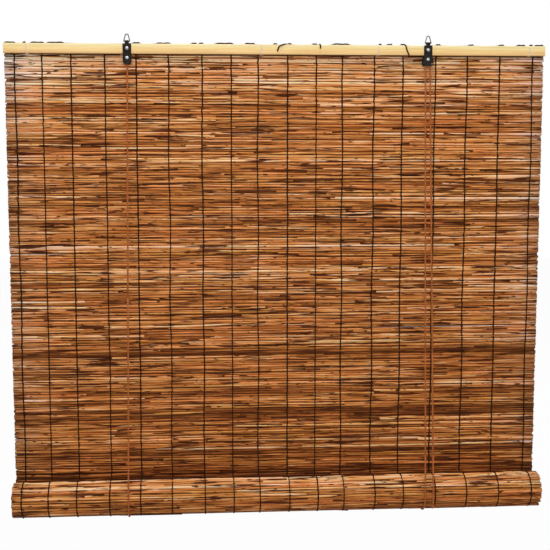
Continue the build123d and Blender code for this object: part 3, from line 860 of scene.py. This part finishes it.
# Pull knot: the pull strand's last few centimetres lie on the roll's front and end in an overhand knot.
# Both are the same braided cord, drawn tight, and they rise with the roll.
knot_radius = 0.0017
knot_steps = 48
knot_sides = 8
knot_squeeze = 0.6
knot_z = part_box("pull_end")[0].z + knot_reach
tail_y = roll_y - sling_radius
tail_drops = (0.004, 0.012)
tail = smooth_path(
    [
        sling_point(pull_x, math.degrees(front_turn), sling_radius),
        *((pull_x, tail_y, mat_foot - drop) for drop in tail_drops),
        (pull_x, tail_y, knot_z),
    ]
)
knot = []
for step in range(knot_steps + 1):
    turn = 2 * math.pi * step / knot_steps
    ring_radius = knot_radius * (1 + 0.45 * math.cos(3 * turn))
    x = pull_x + ring_radius * math.cos(2 * turn)
    y = tail_y + knot_squeeze * knot_radius * math.sin(3 * turn)
    z = knot_z + ring_radius * math.sin(2 * turn)
    knot.append((x, y, z))
pull_tail = join_pieces(
    [
        tube("pull_tail", tail, cord_radius, cord_sides),
        tube("pull_knot", knot, knot_squeeze * cord_radius, knot_sides),
    ],
    "pull_tail",
)
dress(pull_tail, cord_finish)
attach(pull_tail, "lift")
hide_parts("pull_end")
front_strand("pull_strand", pull_top, pull_x, ["pull_cord"])

# Lashing: a dark thread that binds the mat's first row behind the rail's top edge.
# It shows above the rail in short humps, crosses the slat once, has two loose tails
# and runs along the rail's foot.
lashing_y = (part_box("top_thread")[0].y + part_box("top_thread")[1].y) / 2
lashing_radius = 0.0012
foot_radius = 0.0007
twine_sides = 6
hump_rise = 0.0026
hump_lean = 0.002
hump_spread = (0.8, 1.1)
hump_outline = ((0, 0), (0.06, 0.7), (0.3, 0.95), (0.55, 0.65), (0.8, 1.0), (0.95, 0.6), (1, 0))
hump_shares = (
    (-0.997, -0.959), (-0.930, -0.922), (-0.904, -0.854), (-0.846, -0.783), (-0.536, -0.509),
    (-0.450, -0.397), (-0.322, -0.302), (-0.294, -0.279), (-0.236, -0.167), (-0.125, -0.088),
    (-0.018, -0.007), (0.034, 0.046), (0.125, 0.141), (0.198, 0.264), (0.373, 0.382),
    (0.404, 0.422), (0.455, 0.470), (0.588, 0.604), (0.711, 0.729), (0.826, 0.845),
    (0.894, 0.927), (0.943, 0.955), (0.963, 0.997),
)
foot_shares = (
    (-0.995, -0.924), (-0.908, -0.582), (-0.529, -0.072), (-0.056, 0.361),
    (0.377, 0.529), (0.582, 0.932), (0.948, 0.995),
)
face_runs = (
    (0.458, 0.466, ((0.472, 0.05), (0.474, 0.35), (0.479, 0.7), (0.484, 1.0))),
    (0.036, 0.028, ((0.014, 0.02), (0.002, 0.12), (-0.004, 0.4), (-0.006, 0.68))),
    (0.149, 0.151, ((0.1525, 0.04), (0.1535, 0.15), (0.1535, 0.27), (0.153, 0.38))),
)
hidden_drop = 0.0006
hidden_z = rail_high.z - hidden_drop
end_inset = 0.001
face_y = rail_low.y - lashing_radius
over_z = rail_high.z + lashing_radius
foot_y = (rail_low.y + rail_high.y) / 2
foot_z = rail_low.z - foot_radius
foot_bend = 0.003 / half_width

top_route = [(-half_width + end_inset, lashing_y, hidden_z)]
for begin, end in hump_shares:
    for share, rise in hump_outline:
        z = hidden_z + hump_rise * rise * draw.uniform(*hump_spread)
        x = half_width * (begin + (end - begin) * share)
        top_route.append((x, lashing_y - hump_lean * rise, z))
top_route.append((half_width - end_inset, lashing_y, hidden_z))
strands = [tube("strand", smooth_path(top_route), lashing_radius, twine_sides)]
for begin, end in foot_shares:
    route = [
        (half_width * begin, rail_high.y, foot_z),
        (half_width * (begin + foot_bend), foot_y, foot_z),
        (half_width * (end - foot_bend), foot_y, foot_z),
        (half_width * end, rail_high.y, foot_z),
    ]
    strands.append(tube("strand", smooth_path(route), foot_radius, twine_sides))
for behind, over, on_face in face_runs:
    route = [(half_width * behind, lashing_y, hidden_z), (half_width * over, foot_y, over_z)]
    for share, drop in on_face:
        route.append((half_width * share, face_y, rail_high.z - drop * (rail_high.z - rail_low.z)))
    strands.append(tube("strand", smooth_path(route), lashing_radius, twine_sides))
lashing = join_pieces(strands, "rail_lashing")
dress(lashing, thread_finish)
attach(lashing, "blind")
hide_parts("top_thread")

# Rail ties: pale twine that is passed twice round the rail and through the mat below it.
# Four of them hold the mat to the slat.
tie_low, tie_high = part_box("rail_ties")
tie_radius = 0.0006
tie_shares = (-0.916, -0.064, 0.369, 0.940)
tie_shifts = (-0.0007, 0.0007)
bend = 0.002
front, back = tie_low.y + tie_radius, tie_high.y - tie_radius
high, low = tie_high.z - tie_radius, tie_low.z + tie_radius
ties = []
for share in tie_shares:
    for shift in tie_shifts:
        x = half_width * share + shift
        loop = [
            (x, front, (high + low) / 2), (x, front, high - bend), (x, front + bend, high),
            (x, back - bend, high), (x, back, high - bend), (x, back, low + bend),
            (x, back - bend, low), (x, front + bend, low), (x, front, low + bend),
            (x, front, (high + low) / 2),
        ]
        ties.append(tube("tie", smooth_path(loop), tie_radius, twine_sides))
tie_loops = join_pieces(ties, "tie_loops")
twine_finish, tree, shader = new_material("pale_twine", **{"Sheen Weight": 0.2})
coords = add_node(tree, "ShaderNodeTexCoord").outputs["Object"]
twist = add_fibres(tree, coords, (2200, 2200, 900))
colour = add_ramp(tree, twist, ((0.3, (0.62, 0.52, 0.36)), (0.7, (0.88, 0.80, 0.64))))
finish_surface(tree, shader, colour, twist, (0.5, 0.3), twist, (0.5, 0.0003))
dress(tie_loops, twine_finish)
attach(tie_loops, "blind")
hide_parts("rail_ties")


# Hangers and fittings: pressed steel in black enamel, steel wire rings, plated screws, rivets and eyes,
# a brass lock roller, and a dark nylon wheel and bush. Their solids have the real shapes.
def scuff_group():
    """Fine unevenness and rubbed spots of a metal's or a moulding's surface."""
    group = bpy.data.node_groups.new("scuffs", "ShaderNodeTree")
    group.interface.new_socket("Vector", in_out="INPUT", socket_type="NodeSocketVector")
    group.interface.new_socket("Spots", in_out="OUTPUT", socket_type="NodeSocketFloat")
    group.interface.new_socket("Grain", in_out="OUTPUT", socket_type="NodeSocketFloat")
    start = group.nodes.new("NodeGroupInput")
    end = group.nodes.new("NodeGroupOutput")
    for scale, detail, socket in ((260.0, 4.0, "Spots"), (1700.0, 2.0, "Grain")):
        noise = add_node(group, "ShaderNodeTexNoise", Scale=scale, Detail=detail, Roughness=0.65)
        group.links.new(start.outputs["Vector"], noise.inputs["Vector"])
        group.links.new(noise.outputs["Fac"], end.inputs[socket])
    return group


scuffs = scuff_group()


def fitting_finish(name, metallic, gloss, dull, bright, rough, members):
    """One plain finish with scuffs, from its dull colour to its bright one, on some of the fittings."""
    finish, tree, shader = new_material(name, **{"Metallic": metallic, "Specular IOR Level": gloss})
    coords = add_node(tree, "ShaderNodeTexCoord").outputs["Object"]
    wear = add_node(tree, "ShaderNodeGroup", node_tree=scuffs)
    tree.links.new(coords, wear.inputs["Vector"])
    spots = wear.outputs["Spots"]
    colour = add_ramp(tree, spots, ((0.4, dull), (0.75, bright)))
    finish_surface(tree, shader, colour, spots, (rough, 0.4), wear.outputs["Grain"], (0.15, 0.0002))
    for member in members:
        dress(nodes[member], finish)


fitting_finish(
    "black_enamel", 0.0, 0.09, (0.008, 0.006, 0.005), (0.030, 0.025, 0.021), 0.35,
    ("hanger_left", "hanger_right"),
)
fitting_finish(
    "wire_steel", 1.0, 0.5, (0.08, 0.077, 0.074), (0.22, 0.213, 0.207), 0.22,
    ("ring_left", "ring_right"),
)
fitting_finish(
    "bright_steel", 1.0, 0.5, (0.30, 0.30, 0.30), (0.58, 0.58, 0.57), 0.15,
    ("rail_screws", "axle_rivets", "back_eyes"),
)
fitting_finish(
    "yellow_brass", 1.0, 0.5, (0.48, 0.30, 0.10), (0.72, 0.50, 0.20), 0.18,
    ("lock_roller",),
)
fitting_finish(
    "dark_nylon", 0.0, 0.4, (0.045, 0.045, 0.045), (0.095, 0.093, 0.09), 0.35,
    ("pulley_wheel", "cord_sleeve"),
)

# Floor and backdrop: a plain pale studio, with the blind hung clear of the floor.
# Both show as white behind the blind, and the floor keeps a faint shadow.
floor_drop = 0.2
floor_size = 12
glow_share = 0.97
ambient = 0.23
bpy.ops.object.select_all(action="DESELECT")
bpy.ops.mesh.primitive_plane_add(size=floor_size, location=(0, 0, cad_box[0].z - floor_drop))
floor = bpy.context.object
floor.name = "studio_floor"
floor_finish, tree, shader = new_material(
    "pale_floor", **{"Base Color": (0.65, 0.65, 0.65, 1), "Roughness": 0.9}
)
rays = add_node(tree, "ShaderNodeLightPath").outputs
glow = add_node(tree, "ShaderNodeEmission", Color=(1, 1, 1, 1), Strength=1.0)
seen = add_math(tree, "MAXIMUM", rays["Is Camera Ray"], rays["Is Glossy Ray"])
surface = add_node(tree, "ShaderNodeMixShader")
tree.links.new(add_math(tree, "MULTIPLY", seen, glow_share), surface.inputs["Fac"])
tree.links.new(shader.outputs["BSDF"], surface.inputs[1])
tree.links.new(glow.outputs["Emission"], surface.inputs[2])
tree.links.new(surface.outputs["Shader"], tree.nodes["Material Output"].inputs["Surface"])
dress(floor, floor_finish)

world = bpy.data.worlds.new("studio_world")
bpy.context.scene.world = world
world.use_nodes = True
tree = world.node_tree
rays = add_node(tree, "ShaderNodeLightPath").outputs
seen = add_math(tree, "MAXIMUM", rays["Is Camera Ray"], rays["Is Glossy Ray"])
seen = add_math(tree, "MAXIMUM", seen, rays["Is Transmission Ray"])
strength = add_math(tree, "ADD", add_math(tree, "MULTIPLY", seen, 1 - ambient), ambient)
tree.links.new(strength, tree.nodes["Background"].inputs["Strength"])
tree.nodes["Background"].inputs["Color"].default_value = (1, 1, 1, 1)

# Lights: four soft square lamps, one from the front left, one from above for the roll's top,
# a weak one from the right and one for the back.
for name, stand, aim, size, power in (
    ("key_light", (-0.45, -2.2, 0.9), (0, 0, -0.35), 1.2, 24),
    ("top_light", (0, -0.5, 1.5), (0, -0.05, -0.77), 1.0, 23),
    ("fill_light", (1.4, -2.4, 0.3), (0, 0, -0.4), 1.6, 8),
    ("back_light", (0.5, 2.4, 0.5), (0, 0, -0.4), 1.6, 24),
):
    lamp = bpy.data.lights.new(name, "AREA")
    lamp.size = size
    lamp.energy = power
    light = bpy.data.objects.new(name, lamp)
    light.location = stand
    direction = np.array(aim) - np.array(stand)
    tilt = math.atan2(math.hypot(direction[0], direction[1]), -direction[2])
    heading = math.atan2(-direction[0], direction[1])
    light.rotation_euler = (tilt, 0, heading)
    bpy.context.scene.collection.objects.link(light)

# Camera: almost straight on, a little left of the middle and below the rail, looking slightly down.
view_pixels = 550
focal_pixels = 1115.6
look_down = math.radians(6.76)
look_right = math.radians(4.361)
camera_data = bpy.data.cameras.new("photo_camera")
camera_data.sensor_width = 36
camera_data.lens = focal_pixels / view_pixels * camera_data.sensor_width
camera = bpy.data.objects.new("photo_camera", camera_data)
camera.location = (-0.1494, -1.8720, -0.1758)
camera.rotation_euler = (math.pi / 2 - look_down, 0, -look_right)
bpy.context.scene.collection.objects.link(camera)
bpy.context.scene.camera = camera
bpy.context.scene.view_settings.view_transform = "Standard"
